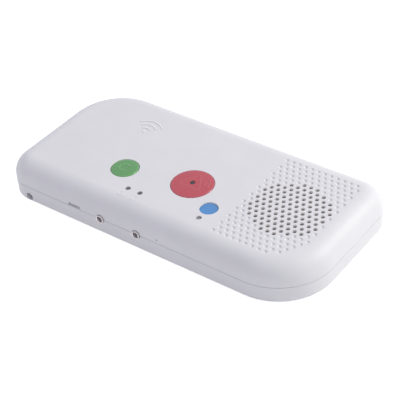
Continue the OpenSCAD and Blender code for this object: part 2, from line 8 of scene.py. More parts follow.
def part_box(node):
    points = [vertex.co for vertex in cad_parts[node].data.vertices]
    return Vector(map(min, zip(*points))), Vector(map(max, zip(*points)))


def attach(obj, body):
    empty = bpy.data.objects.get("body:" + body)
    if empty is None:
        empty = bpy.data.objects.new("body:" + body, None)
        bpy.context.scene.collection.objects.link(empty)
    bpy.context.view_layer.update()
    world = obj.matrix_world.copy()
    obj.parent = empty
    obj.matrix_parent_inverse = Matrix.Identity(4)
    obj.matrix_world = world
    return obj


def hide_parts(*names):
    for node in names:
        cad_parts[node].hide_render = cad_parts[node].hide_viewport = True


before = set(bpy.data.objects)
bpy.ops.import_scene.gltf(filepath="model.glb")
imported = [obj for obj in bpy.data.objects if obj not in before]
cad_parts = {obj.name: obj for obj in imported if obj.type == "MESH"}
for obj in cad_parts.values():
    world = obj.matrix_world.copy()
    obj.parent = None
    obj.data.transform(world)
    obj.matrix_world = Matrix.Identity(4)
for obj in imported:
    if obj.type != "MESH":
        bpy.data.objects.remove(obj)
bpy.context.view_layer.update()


# Rear cover: the lower half of the case, a shallow tray moulded in off-white ABS.
# Its skin is spark eroded, so the satin surface breaks light evenly; rim, keyholes and
# cord inlet keep the small radii that the mould leaves.
mm = 0.001
abs_white = (0.715, 0.715, 0.735)
# The pale of worn edges, also the tone of the painted highlights on crests and rims.
wear_and_highlight_white = (0.86, 0.86, 0.86)


def lay(tree, kind, **values):
    """Puts a shader node in a tree; values name its settings, its input sockets or its second input."""
    node = tree.nodes.new("ShaderNode" + kind)
    for key, value in values.items():
        if key in node.bl_rna.properties:
            setattr(node, key, value)
        elif key == "second":
            node.inputs[1].default_value = value
        else:
            node.inputs[key.replace("_", " ")].default_value = value
    return node


def wire(tree, *pairs):
    """Joins sockets: each pair is (output, input)."""
    for source, target in pairs:
        tree.links.new(source, target)


def skin_group(name, inputs):
    """A node group that puts out a skin's colour, roughness and normal; inputs give a default each."""
    group = bpy.data.node_groups.new(name, "ShaderNodeTree")
    for label, (kind, value) in inputs.items():
        socket = group.interface.new_socket(label, in_out="INPUT", socket_type="NodeSocket" + kind)
        socket.default_value = value
    for label, kind in (("Colour", "Color"), ("Roughness", "Float"), ("Normal", "Vector")):
        group.interface.new_socket(label, in_out="OUTPUT", socket_type="NodeSocket" + kind)
    return group, group.nodes.new("NodeGroupInput"), group.nodes.new("NodeGroupOutput")


moulded, given, out = skin_group("moulded_skin", {
    "Colour": ("Color", (0.7, 0.7, 0.7, 1)), "Roughness": ("Float", 0.5), "Grain": ("Float", 0.3),
    "Edge": ("Float", 0.25 * mm), "Wear": ("Float", 0.3)})
place = lay(moulded, "TexCoord")
grain = lay(moulded, "TexNoise", Scale=2600.0, Detail=3.0, Roughness=0.6)
sink = lay(moulded, "TexNoise", Scale=55.0, Detail=2.0, Roughness=0.5)
edge = lay(moulded, "Bevel", samples=6)
flat = lay(moulded, "NewGeometry")
facing = lay(moulded, "VectorMath", operation="DOT_PRODUCT")
turned_away = lay(moulded, "MapRange", From_Min=0.999, From_Max=0.9)
worn = lay(moulded, "Math", operation="MULTIPLY")
tone = lay(moulded, "MapRange", From_Min=0.3, From_Max=0.7, To_Min=0.985, To_Max=1.015)
tinted = lay(moulded, "VectorMath", operation="SCALE")
paler = lay(moulded, "Mix", data_type="RGBA", B=(*wear_and_highlight_white, 1))
matt = lay(moulded, "MapRange", From_Min=0.25, From_Max=0.75, To_Min=-0.07, To_Max=0.07)
rough = lay(moulded, "Math", operation="ADD", use_clamp=True)
bump = lay(moulded, "Bump", Distance=0.06 * mm)
wire(moulded,
     (place.outputs["Object"], grain.inputs["Vector"]),
     (place.outputs["Object"], sink.inputs["Vector"]),
     (given.outputs["Edge"], edge.inputs["Radius"]),
     (edge.outputs["Normal"], facing.inputs[0]),
     (flat.outputs["Normal"], facing.inputs[1]),
     (facing.outputs["Value"], turned_away.inputs["Value"]),
     (turned_away.outputs["Result"], worn.inputs[0]),
     (given.outputs["Wear"], worn.inputs[1]),
     (sink.outputs["Fac"], tone.inputs["Value"]),
     (given.outputs["Colour"], tinted.inputs[0]),
     (tone.outputs["Result"], tinted.inputs["Scale"]),
     (worn.outputs["Value"], paler.inputs["Factor"]),
     (tinted.outputs["Vector"], paler.inputs["A"]),
     (paler.outputs["Result"], out.inputs["Colour"]),
     (grain.outputs["Fac"], matt.inputs["Value"]),
     (matt.outputs["Result"], rough.inputs[0]),
     (given.outputs["Roughness"], rough.inputs[1]),
     (rough.outputs["Value"], out.inputs["Roughness"]),
     (grain.outputs["Fac"], bump.inputs["Height"]),
     (given.outputs["Grain"], bump.inputs["Strength"]),
     (edge.outputs["Normal"], bump.inputs["Normal"]),
     (bump.outputs["Normal"], out.inputs["Normal"]))


def blank(name, **shader):
    """A new material, with its tree and its Principled shader, whose sockets the values name."""
    material = bpy.data.materials.new(name)
    material.use_nodes = True
    tree = material.node_tree
    surface = tree.nodes["Principled BSDF"]
    for key, value in shader.items():
        surface.inputs[key.replace("_", " ")].default_value = value
    return material, tree, surface


def coated(name, group, settings, **shader):
    """A material whose Principled shader takes colour, roughness and normal from a group."""
    material, tree, surface = blank(name, **shader)
    skin = lay(tree, "Group", node_tree=group, **settings)
    wire(tree,
         (skin.outputs["Colour"], surface.inputs["Base Color"]),
         (skin.outputs["Roughness"], surface.inputs["Roughness"]),
         (skin.outputs["Normal"], surface.inputs["Normal"]))
    return material


def moulded_plastic(name, colour, roughness=0.5, grain=0.25, edge=0.25 * mm, wear=0.15, **shader):
    """A moulded plastic with its grain, sink marks and softened edges."""
    return coated(name, moulded, {"Colour": (*colour, 1), "Roughness": roughness, "Grain": grain,
                                  "Edge": edge, "Wear": wear}, **shader)


def dress(material, *names):
    """Gives CAD nodes their finish."""
    for name in names:
        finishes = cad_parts[name].data.materials
        finishes.clear()
        finishes.append(material)


case_white = moulded_plastic("case_white", abs_white)
dress(case_white, "rear_cover")


# Rubber feet: four soft discs moulded in black rubber, glued in shallow seats under the
# case. Each stands on a ring round a shallow hollow, so that it sucks on to a smooth table.
def lathe(bm, profile, centre, axis=(0, 0, 1), closed=False, steps=48):
    """Turns a profile of (radius, height) points in millimetres round an axis through a centre."""
    middle = Vector(centre) * mm
    along = Vector(axis)
    outwards = along.orthogonal().normalized()
    points = [bm.verts.new(middle + (outwards * r + along * h) * mm) for r, h in profile]
    edges = [bm.edges.new(pair) for pair in zip(points, points[1:])]
    if closed:
        edges.append(bm.edges.new((points[-1], points[0])))
    bmesh.ops.spin(bm, geom=points + edges, cent=middle, axis=along, dvec=(0, 0, 0),
                   angle=2 * math.pi, steps=steps, use_merge=True)


def piece(bm, name, material, body, node):
    """Makes a finished object of a bmesh, in place of a CAD node."""
    weld, crease = 0.0005 * mm, math.radians(32)
    bmesh.ops.remove_doubles(bm, verts=bm.verts, dist=weld)
    bmesh.ops.recalc_face_normals(bm, faces=bm.faces)
    for face in bm.faces:
        face.smooth = True
    mesh = bpy.data.meshes.new(name)
    bm.to_mesh(mesh)
    bm.free()
    mesh.set_sharp_from_angle(angle=crease)
    mesh.materials.append(material)
    made = bpy.data.objects.new(name, mesh)
    bpy.context.scene.collection.objects.link(made)
    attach(made, body)
    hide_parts(node)


black_rubber = moulded_plastic("black_rubber", (0.022, 0.022, 0.023), roughness=0.78, grain=0.6,
                               edge=0.15 * mm, wear=0.08, Specular_IOR_Level=0.3)
foot_centres = [(x, y, 0) for x in (-69.99, 69.99) for y in (-35.47, 36.47)]
foot_profile = [(0, 0.2), (1.9, 0.2), (2.15, 0.16), (2.4, 0.03), (2.6, 0), (4.3, 0), (4.62, 0.06),
                (4.86, 0.24), (4.97, 0.5), (5, 0.8), (5, 1.8), (0, 1.8)]
bm = bmesh.new()
for centre in foot_centres:
    lathe(bm, foot_profile, centre)
piece(bm, "tread_feet", black_rubber, "case", "rubber_feet")


# Cord clamp: a saddle moulded in black plastic, with two zinc plated screws on posts of the
# rear cover, which holds the line cord down behind its inlet.
plated, given, out = skin_group("plated_metal", {
    "Colour": ("Color", (0.6, 0.6, 0.6, 1)), "Roughness": ("Float", 0.3), "Stain": ("Float", 0.3),
    "Edge": ("Float", 0.1 * mm)})
place = lay(plated, "TexCoord")
cloud = lay(plated, "TexNoise", Scale=260.0, Detail=4.0, Roughness=0.6)
hair = lay(plated, "TexNoise", Scale=5200.0, Detail=2.0, Roughness=0.5)
dull = lay(plated, "MapRange", From_Min=0.35, From_Max=0.75, To_Min=1.0, To_Max=0.55)
amount = lay(plated, "Mix", data_type="FLOAT", A=1.0)
shade = lay(plated, "VectorMath", operation="SCALE")
haze = lay(plated, "MapRange", From_Min=0.3, From_Max=0.7, To_Min=-0.06, To_Max=0.1)
rough = lay(plated, "Math", operation="ADD", use_clamp=True)
edge = lay(plated, "Bevel", samples=6)
bump = lay(plated, "Bump", Distance=0.01 * mm, Strength=0.15)
wire(plated,
     (place.outputs["Object"], cloud.inputs["Vector"]),
     (place.outputs["Object"], hair.inputs["Vector"]),
     (cloud.outputs["Fac"], dull.inputs["Value"]),
     (given.outputs["Stain"], amount.inputs["Factor"]),
     (dull.outputs["Result"], amount.inputs["B"]),
     (given.outputs["Colour"], shade.inputs[0]),
     (amount.outputs["Result"], shade.inputs["Scale"]),
     (shade.outputs["Vector"], out.inputs["Colour"]),
     (cloud.outputs["Fac"], haze.inputs["Value"]),
     (haze.outputs["Result"], rough.inputs[0]),
     (given.outputs["Roughness"], rough.inputs[1]),
     (rough.outputs["Value"], out.inputs["Roughness"]),
     (given.outputs["Edge"], edge.inputs["Radius"]),
     (hair.outputs["Fac"], bump.inputs["Height"]),
     (edge.outputs["Normal"], bump.inputs["Normal"]),
     (bump.outputs["Normal"], out.inputs["Normal"]))


def plated_metal(name, colour, roughness, stain, edge=0.1 * mm):
    """A plated or bright metal with faint stains and fine hair lines."""
    return coated(name, plated, {"Colour": (*colour, 1), "Roughness": roughness, "Stain": stain,
                                 "Edge": edge}, Metallic=1.0)


black_plastic = moulded_plastic("black_plastic", (0.021, 0.021, 0.023), roughness=0.42, grain=0.35,
                                edge=0.15 * mm, wear=0.08)
zinc_steel = plated_metal("zinc_steel", (0.56, 0.57, 0.60), roughness=0.34, stain=0.45)
dress(black_plastic, "cord_clamp")
dress(zinc_steel, "clamp_screws")


# Line terminal: a four-way block moulded in grey plastic, soldered under the board.
# Its zinc plated screws hold the wires of the line cord.
terminal_grey = moulded_plastic("terminal_grey", (0.11, 0.115, 0.12), roughness=0.48, grain=0.3,
                                edge=0.15 * mm, wear=0.1)
dress(terminal_grey, "line_terminal")
dress(zinc_steel, "terminal_screws")


# Backup battery: a flat rechargeable pack in shrunk blue film, laid in a frame of the rear
# cover. Two gilt spring pins join it to the board above.
def pattern(name, **shader):
    """A blank material for a pattern of its own, with its tree, its shader and its place."""
    material, tree, surface = blank(name, **shader)
    return material, tree, surface, lay(tree, "TexCoord").outputs["Object"]


def ramp(tree, value, low, high, stops):
    """Colours a value that runs from low to high by evenly spread colours."""
    spread = lay(tree, "MapRange", From_Min=low, From_Max=high)
    colours = lay(tree, "ValToRGB")
    bar = colours.color_ramp
    while len(bar.elements) < len(stops):
        bar.elements.new(0.5)
    for index, colour in enumerate(stops):
        bar.elements[index].position = index / (len(stops) - 1)
        bar.elements[index].color = (*colour, 1)
    wire(tree, (value, spread.inputs["Value"]), (spread.outputs["Result"], colours.inputs["Fac"]))
    return colours.outputs["Color"]


def raise_by(tree, surface, height, distance, strength=1.0):
    """Feeds a height to the shader's normal through a bump."""
    bump = lay(tree, "Bump", Distance=distance, Strength=strength)
    wire(tree, (height, bump.inputs["Height"]), (bump.outputs["Normal"], surface.inputs["Normal"]))


battery_wrap, tree, surface, place = pattern("battery_wrap", Coat_Weight=0.35, Coat_Roughness=0.2)
film_blues = [(0.03, 0.07, 0.22), (0.05, 0.10, 0.30)]
creases = lay(tree, "TexNoise", Scale=160.0, Detail=5.0, Roughness=0.55, Distortion=0.8)
matt = lay(tree, "MapRange", From_Min=0.3, From_Max=0.7, To_Min=0.22, To_Max=0.42)
wire(tree, (place, creases.inputs["Vector"]), (creases.outputs["Fac"], matt.inputs["Value"]),
     (matt.outputs["Result"], surface.inputs["Roughness"]),
     (ramp(tree, creases.outputs["Fac"], 0.3, 0.7, film_blues), surface.inputs["Base Color"]))
raise_by(tree, surface, creases.outputs["Fac"], distance=0.4 * mm, strength=0.5)
gilt_brass = plated_metal("gilt_brass", (0.72, 0.53, 0.22), roughness=0.25, stain=0.3)
dress(battery_wrap, "backup_battery")
dress(gilt_brass, "battery_pins")


# Main board: a glass-fibre board under green solder mask, with tracks and tinned through
# holes. It is screwed to posts of the top cover and carries the electric parts.
board_green, tree, surface, place = pattern("board_green", Specular_IOR_Level=0.5, Coat_Weight=0.3)
mask_greens, tin_grey = [(0.012, 0.085, 0.04), (0.03, 0.16, 0.075)], (0.52, 0.50, 0.45)
cells = lay(tree, "TexVoronoi", feature="F1", distance="MANHATTAN", Scale=95.0, Randomness=0.9)
lines = lay(tree, "Math", operation="MULTIPLY", second=44.0)
wave = lay(tree, "Math", operation="SINE")
track = lay(tree, "MapRange", From_Min=0.25, From_Max=0.55)
holes = lay(tree, "TexVoronoi", feature="F1", Scale=240.0, Randomness=1.0)
pad = lay(tree, "MapRange", From_Min=0.16, From_Max=0.12)
mask_colour = ramp(tree, track.outputs["Result"], 0.0, 1.0, mask_greens)
tinned = lay(tree, "Mix", data_type="RGBA", B=(*tin_grey, 1))
gloss = lay(tree, "MapRange", To_Min=0.38, To_Max=0.28)
wire(tree, (place, cells.inputs["Vector"]), (cells.outputs["Distance"], lines.inputs[0]),
     (lines.outputs["Value"], wave.inputs[0]), (wave.outputs["Value"], track.inputs["Value"]),
     (place, holes.inputs["Vector"]), (holes.outputs["Distance"], pad.inputs["Value"]),
     (mask_colour, tinned.inputs["A"]), (pad.outputs["Result"], tinned.inputs["Factor"]),
     (tinned.outputs["Result"], surface.inputs["Base Color"]),
     (pad.outputs["Result"], surface.inputs["Metallic"]),
     (track.outputs["Result"], gloss.inputs["Value"]),
     (gloss.outputs["Result"], surface.inputs["Roughness"]))
raise_by(tree, surface, track.outputs["Result"], distance=0.03 * mm, strength=0.6)
dress(board_green, "main_board")


# Parts on the board: black chips, a tinned can over the radio, chip LEDs in milky resin,
# and four push switches whose plungers move with the buttons. All are soldered on.
tin_plate = plated_metal("tin_plate", (0.60, 0.60, 0.61), roughness=0.36, stain=0.35)
led_resin = moulded_plastic("led_resin", (0.82, 0.77, 0.52), roughness=0.25, grain=0.05,
                            edge=0.1 * mm, wear=0.0, Coat_Weight=0.4)
dress(black_plastic, "board_chips", "switch_bodies", "call_plungers", "cancel_plunger",
      "service_plunger")
dress(tin_plate, "radio_shield")
dress(led_resin, "indicator_leds")


# Jack sockets: black moulded bodies under the board, each with a turned, nickel plated
# nose, lined in grey plastic, that stands out of the case front through a clearance hole.
def over(material):
    """Opens a material for one more layer: its tree, its shader, its colour so far and its place."""
    tree = material.node_tree
    surface = tree.nodes["Principled BSDF"]
    skin = surface.inputs["Base Color"].links[0].from_socket
    return tree, surface, skin, lay(tree, "TexCoord").outputs["Object"]


nickel = plated_metal("nickel", (0.70, 0.665, 0.635), roughness=0.22, stain=0.2)
lining_grey = (0.40, 0.375, 0.44)
jacks_x, jack_front, jack_z = (-27.84, -3.13), -47.7, 11.1
jack_bore, bare_mouth = 1.8, 0.5
tree, surface, skin, place = over(nickel)
centred = lay(tree, "Mapping", vector_type="POINT",
              Location=(-sum(jacks_x) / 2 * mm, -jack_front * mm, -jack_z * mm))
folded = lay(tree, "VectorMath", operation="ABSOLUTE")
on_axis = lay(tree, "VectorMath", operation="SUBTRACT",
              second=((jacks_x[1] - jacks_x[0]) / 2 * mm, 0, 0))
across = lay(tree, "VectorMath", operation="MULTIPLY", second=(1, 0, 1))
reach = lay(tree, "VectorMath", operation="LENGTH")
outside = lay(tree, "MapRange", From_Min=(jack_bore + 0.02) * mm, From_Max=(jack_bore + 0.06) * mm)
parts = lay(tree, "SeparateXYZ")
mouth = lay(tree, "MapRange", From_Min=(bare_mouth + 0.4) * mm, From_Max=bare_mouth * mm)
bare = lay(tree, "Math", operation="MAXIMUM")
lined = lay(tree, "Mix", data_type="RGBA", A=(*lining_grey, 1))
wire(tree, (place, centred.inputs["Vector"]), (centred.outputs["Vector"], folded.inputs[0]),
     (folded.outputs["Vector"], on_axis.inputs[0]), (on_axis.outputs["Vector"], across.inputs[0]),
     (across.outputs["Vector"], reach.inputs[0]), (reach.outputs["Value"], outside.inputs["Value"]),
     (centred.outputs["Vector"], parts.inputs["Vector"]), (parts.outputs["Y"], mouth.inputs["Value"]),
     (outside.outputs["Result"], bare.inputs[0]), (mouth.outputs["Result"], bare.inputs[1]),
     (bare.outputs["Value"], lined.inputs["Factor"]), (skin, lined.inputs["B"]),
     (lined.outputs["Result"], surface.inputs["Base Color"]),
     (bare.outputs["Value"], surface.inputs["Metallic"]))
nose_profile = [(jack_bore, 4.7), (jack_bore, 0.4), (1.98, 0.08), (2.05, 0.01), (2.12, 0), (2.24, 0.03),
                (2.32, 0.12), (2.35, 0.26), (2.35, 3.5), (3, 3.5), (3, 4.7)]
bm = bmesh.new()
for x in jacks_x:
    lathe(bm, nose_profile, (x, jack_front, jack_z), axis=(0, 1, 0), closed=True, steps=64)
piece(bm, "turned_noses", nickel, "case", "jack_ferrules")
dress(black_plastic, "jack_bodies")


# Service socket: a folded shell of bright tinned sheet, soldered to the board, round a tongue
# moulded in grey plastic. It lies behind the slot in the front wall.
tongue_plastic = moulded_plastic("tongue_plastic", (0.56, 0.56, 0.57), roughness=0.5, grain=0.2,
                                 edge=0.05 * mm, wear=0.0)
bright_tin = plated_metal("bright_tin", (0.88, 0.88, 0.90), roughness=0.45, stain=0.1)
dress(bright_tin, "service_socket")
dress(tongue_plastic, "socket_tongue")


# Microphone: a small tinned capsule in a soft boot of black rubber, which keeps the noise of
# the case from it, behind a pinhole in the front wall.
dress(tin_plate, "microphone")
dress(black_rubber, "microphone_boot")


# Top cover: the upper half of the case in the same plastic, with the speaker grille, the
# button holes, the radio mark and two small icons moulded in. Screwed on from below. Its hole
# walls are painted light at the mouths and painted shade lower down; icon crests get painted highlight.
def painted_highlight(material, x, y, face, crests, rim=0.0, border=0.0, tone=wear_and_highlight_white):
    """Paints highlights: pales what stands above a face by crests and a band inside a rim by border."""
    crest_start, crest_full, band_start, band_full = 0.015, 0.05, rim - 1.1, rim - 0.5
    tree, surface, skin, place = over(material)
    centred = lay(tree, "Mapping", vector_type="POINT", Location=(-x * mm, -y * mm, -face * mm))
    parts = lay(tree, "SeparateXYZ")
    level = lay(tree, "VectorMath", operation="MULTIPLY", second=(1, 1, 0))
    reach = lay(tree, "VectorMath", operation="LENGTH")
    above = lay(tree, "MapRange", From_Min=crest_start * mm, From_Max=crest_full * mm, To_Max=crests)
    outer = lay(tree, "MapRange", From_Min=band_start * mm, From_Max=band_full * mm, To_Max=border)
    most = lay(tree, "Math", operation="MAXIMUM")
    paler = lay(tree, "Mix", data_type="RGBA", B=(*tone, 1))
    wire(tree, (place, centred.inputs["Vector"]), (centred.outputs["Vector"], parts.inputs["Vector"]),
         (parts.outputs["Z"], above.inputs["Value"]), (centred.outputs["Vector"], level.inputs[0]),
         (level.outputs["Vector"], reach.inputs[0]), (reach.outputs["Value"], outer.inputs["Value"]),
         (above.outputs["Result"], most.inputs[0]), (outer.outputs["Result"], most.inputs[1]),
         (most.outputs["Value"], paler.inputs["Factor"]), (skin, paler.inputs["A"]),
         (paler.outputs["Result"], surface.inputs["Base Color"]))


cover_white = moulded_plastic("cover_white", abs_white)
cover_top, cover_skin, hole_shade_depth, lens_row_back = 24.0, 2.2, 1.6, -27.4
# The painted tones, shade low in the holes and light at their mouths, run from the given depth up to the
# top; the lens holes, in front of lens_row_back, stay plain.
hole_shade_and_light_tones = [(0.44, 0.425, 0.46), (0.50, 0.48, 0.505), (0.56, 0.54, 0.55), (0.71, 0.685, 0.675),
              (0.86, 0.83, 0.80), (0.90, 0.875, 0.845), (0.95, 0.92, 0.89), (0.94, 0.915, 0.89),
              abs_white]
# Painted highlight: the crests of the raised icons are paled.
painted_highlight(cover_white, 0, 0, cover_top, crests=0.6)
# Painted shade and painted light on the steep walls of the holes in the skin: grey further down, paler
# than the case at the mouths.
tree, surface, skin, place = over(cover_white)
parts = lay(tree, "SeparateXYZ")
way = lay(tree, "NewGeometry")
slope = lay(tree, "SeparateXYZ")
steepness = lay(tree, "Math", operation="ABSOLUTE")
steep = lay(tree, "MapRange", From_Min=0.3, From_Max=0.1)
in_skin = lay(tree, "MapRange", From_Min=(cover_top - cover_skin - 0.2) * mm,
              From_Max=(cover_top - cover_skin) * mm)
past_lenses = lay(tree, "MapRange", From_Min=lens_row_back * mm, From_Max=(lens_row_back + 0.4) * mm)
in_field = lay(tree, "Math", operation="MULTIPLY")
hole_wall = lay(tree, "Math", operation="MULTIPLY")
painted_hole_shade = lay(tree, "Mix", data_type="RGBA")
wire(tree, (place, parts.inputs["Vector"]), (parts.outputs["Z"], in_skin.inputs["Value"]),
     (way.outputs["True Normal"], slope.inputs["Vector"]), (slope.outputs["Z"], steepness.inputs[0]),
     (steepness.outputs["Value"], steep.inputs["Value"]),
     (parts.outputs["Y"], past_lenses.inputs["Value"]),
     (in_skin.outputs["Result"], in_field.inputs[0]), (past_lenses.outputs["Result"], in_field.inputs[1]),
     (in_field.outputs["Value"], hole_wall.inputs[0]), (steep.outputs["Result"], hole_wall.inputs[1]),
     (hole_wall.outputs["Value"], painted_hole_shade.inputs["Factor"]), (skin, painted_hole_shade.inputs["A"]),
     (ramp(tree, parts.outputs["Z"], (cover_top - hole_shade_depth) * mm, cover_top * mm, hole_shade_and_light_tones),
      painted_hole_shade.inputs["B"]),
     (painted_hole_shade.outputs["Result"], surface.inputs["Base Color"]))
dress(cover_white, "top_cover")


# Contactless antenna: a film behind the radio mark with a printed copper coil of
# rectangular turns, fed by two gilt spring pins.
antenna_low, antenna_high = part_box("nfc_antenna")
antenna_film, tree, surface, place = pattern("antenna_film", Roughness=0.35)
film_and_copper = [(0.34, 0.17, 0.05), (0.72, 0.38, 0.22)]
coil_middle, coil_half, turn_pitch, narrower = 12.2, 3.0, 1.1, 4.0
centred = lay(tree, "Mapping", vector_type="POINT", Location=-(antenna_low + antenna_high) / 2)
size = lay(tree, "VectorMath", operation="ABSOLUTE")
parts = lay(tree, "SeparateXYZ")
inset_y = lay(tree, "Math", operation="ADD", second=narrower * mm)
reach = lay(tree, "Math", operation="MAXIMUM")
turns = lay(tree, "Math", operation="MULTIPLY", second=2 * math.pi / (turn_pitch * mm))
wave = lay(tree, "Math", operation="SINE")
band = lay(tree, "Math", operation="COMPARE", second=coil_middle * mm)
band.inputs[2].default_value = coil_half * mm
line = lay(tree, "MapRange", From_Min=-0.1, From_Max=0.1)
copper = lay(tree, "Math", operation="MULTIPLY")
wire(tree, (place, centred.inputs["Vector"]), (centred.outputs["Vector"], size.inputs[0]),
     (size.outputs["Vector"], parts.inputs["Vector"]), (parts.outputs["Y"], inset_y.inputs[0]),
     (parts.outputs["X"], reach.inputs[0]), (inset_y.outputs["Value"], reach.inputs[1]),
     (reach.outputs["Value"], turns.inputs[0]), (turns.outputs["Value"], wave.inputs[0]),
     (wave.outputs["Value"], line.inputs["Value"]), (reach.outputs["Value"], band.inputs[0]),
     (line.outputs["Result"], copper.inputs[0]), (band.outputs["Value"], copper.inputs[1]),
     (copper.outputs["Value"], surface.inputs["Metallic"]),
     (ramp(tree, copper.outputs["Value"], 0.0, 1.0, film_and_copper), surface.inputs["Base Color"]))
raise_by(tree, surface, copper.outputs["Value"], distance=0.04 * mm)
dress(antenna_film, "nfc_antenna")
dress(gilt_brass, "antenna_pins")


# Loudspeaker: woven dust cloth and foam ring behind the grille, then a paper cone in a
# zinc plated steel basket with a ferrite magnet, clamped to posts by three wide screws.
thread = 0.36 * mm
thread_scale = math.pi / (10 * thread)
cloth_blacks = [(0.006, 0.006, 0.006), (0.05, 0.047, 0.045)]
screen_cloth, tree, surface, place = pattern("screen_cloth", Roughness=0.9, Specular_IOR_Level=0.15)
warp = lay(tree, "TexWave", bands_direction="X", Scale=thread_scale)
weft = lay(tree, "TexWave", bands_direction="Y", Scale=thread_scale)
weave = lay(tree, "Math", operation="MULTIPLY")
wire(tree, (place, warp.inputs["Vector"]), (place, weft.inputs["Vector"]),
     (warp.outputs["Fac"], weave.inputs[0]), (weft.outputs["Fac"], weave.inputs[1]),
     (ramp(tree, weave.outputs["Value"], 0.0, 1.0, cloth_blacks), surface.inputs["Base Color"]))
raise_by(tree, surface, weave.outputs["Value"], distance=0.12 * mm)


def speckled(name, texture, value, span, tones, relief, strength=1.0, **shader):
    """A material whose colour and relief follow a value of one texture, given as (kind, settings)."""
    material, tree, surface, place = pattern(name, **shader)
    kind, settings = texture
    speckle = lay(tree, kind, **settings)
    wire(tree, (place, speckle.inputs["Vector"]),
         (ramp(tree, speckle.outputs[value], *span, tones), surface.inputs["Base Color"]))
    raise_by(tree, surface, speckle.outputs[value], relief, strength)
    return material


black_foam = speckled("black_foam", ("TexVoronoi", {"Scale": 1500.0}), "Distance", span=(0.0, 0.7),
                      tones=[(0.006, 0.006, 0.006), (0.03, 0.03, 0.031)], relief=0.15 * mm,
                      Roughness=0.95, Specular_IOR_Level=0.1)
paper_fibres = {"Scale": 900.0, "Detail": 6.0, "Roughness": 0.7, "Distortion": 1.5}
cone_paper = speckled("cone_paper", ("TexNoise", paper_fibres), "Fac", span=(0.3, 0.7),
                      tones=[(0.018, 0.017, 0.016), (0.045, 0.042, 0.038)], relief=0.1 * mm,
                      strength=0.7, Roughness=0.85, Specular_IOR_Level=0.2)
ferrite_grains = {"Scale": 1400.0, "Detail": 4.0, "Roughness": 0.7}
ferrite = speckled("ferrite", ("TexNoise", ferrite_grains), "Fac", span=(0.3, 0.75),
                   tones=[(0.03, 0.03, 0.032), (0.085, 0.083, 0.083)], relief=0.08 * mm,
                   strength=0.6, Roughness=0.6)
pressed_steel = plated_metal("pressed_steel", (0.50, 0.51, 0.52), roughness=0.4, stain=0.5,
                             edge=0.2 * mm)
dress(screen_cloth, "speaker_screen")
dress(black_foam, "speaker_gasket")
dress(pressed_steel, "speaker_frame")
dress(cone_paper, "speaker_cone")
dress(ferrite, "speaker_magnet")
dress(gilt_brass, "speaker_tags")
dress(zinc_steel, "speaker_screws")


# Call button: a red cap moulded in one piece with its retaining flange and two posts.
# A low raised triangle with sound waves stands on it, and a smoked window lets its LED
# through, pushed into a boss under the cap.
call_x, call_y, call_top, call_radius = 7.156, -8.931, 24.3, 12.0
eye_x, eye_y, eye_mouth, eye_radius = call_x - 0.6, call_y + 0.8, 1.62, 1.5
boss_radius, boss_low, field_radius = 2.5, 20.9, 4.0
flange_low, flange_top, cap_skin = 20.5, 21.7, 1.6
post_low, post_radius, post_root, call_posts = 19.9, 1.7, 1.4, (-7, 7)
wave_x, wave_y, wave_radii = call_x + 2.2, call_y + 2, (4, 6.5)


def below(top, *points):
    """Points of a profile given as (radius, depth below a top), in (radius, height)."""
    return [(radius, top - depth) for radius, depth in points]


def skirt(top, start, inner, flange, outer):
    """A cap's profile along its ceiling, down its inside and round its retaining flange."""
    return below(top, (start, cap_skin), (inner, cap_skin)) + [
        (inner, flange_low), (flange, flange_low), (flange, flange_top), (outer, flange_top)]


def post(bm, x, y, top):
    """A round post with closed ends under a cap, down to its switch's plunger."""
    chamfer, high = 0.15, top - post_root
    lathe(bm, [(0, post_low), (post_radius - chamfer, post_low), (post_radius, post_low + chamfer),
               (post_radius, high), (0, high)], (x, y, 0), steps=32)


def hoop(bm, x, y, radius, height):
    """The open edges that run round a circle, all in millimetres."""
    middle, slack = Vector((x, y, height)) * mm, 0.003 * mm
    return [edge for edge in bm.edges if edge.is_boundary and all(
        abs((vert.co - middle).length - radius * mm) < slack for vert in edge.verts)]


def ridge(*half):
    """The section of a soft ridge, mirrored from (offset, height) points between its foot and crest."""
    return [*half, *((-offset, height) for offset, height in half[-2::-1])]


def raised_arc(bm, centre, radius, start, stop, section):
    """A soft ridge along an arc between two angles in degrees."""
    sweep, degrees_a_step, least_steps = stop - start, 5, 8
    middle = Vector(centre) * mm
    turn = Matrix.Rotation(math.radians(start), 4, "Z")
    verts = [bm.verts.new(middle + turn @ Vector((radius + a, 0, b)) * mm) for a, b in section]
    bmesh.ops.spin(bm, geom=[bm.faces.new(verts)], cent=middle, axis=(0, 0, 1), dvec=(0, 0, 0),
                   angle=math.radians(sweep), steps=max(least_steps, int(sweep / degrees_a_step)))


def raised_outline(bm, corners, bend, section, level):
    """A soft ridge along a polygon whose corners are bent to a radius."""
    count, bend_steps = len(corners), 8
    sides = [(corners[(i + 1) % count] - corners[i]).normalized() for i in range(count)]
    rings = [[] for _ in section]
    for i in range(count):
        ahead, behind = sides[i], sides[i - 1]
        first = math.atan2(-behind.x, behind.y)
        swing = behind.angle(ahead)
        bisector = (ahead - behind).normalized()
        pivot = corners[i] + bisector * (bend / math.cos(swing / 2))
        for step in range(bend_steps + 1):
            angle = first + swing * step / bend_steps
            for ring, (offset, height) in zip(rings, section):
                reach = bend + offset
                spot = Vector((pivot.x + reach * math.cos(angle), pivot.y + reach * math.sin(angle),
                               level + height))
                ring.append(bm.verts.new(spot * mm))
    loops = [[bm.edges.new((ring[i - 1], ring[i])) for i in range(len(ring))] for ring in rings]
    for loop, following in zip(loops, loops[1:]):
        bmesh.ops.bridge_loops(bm, edges=loop + following)


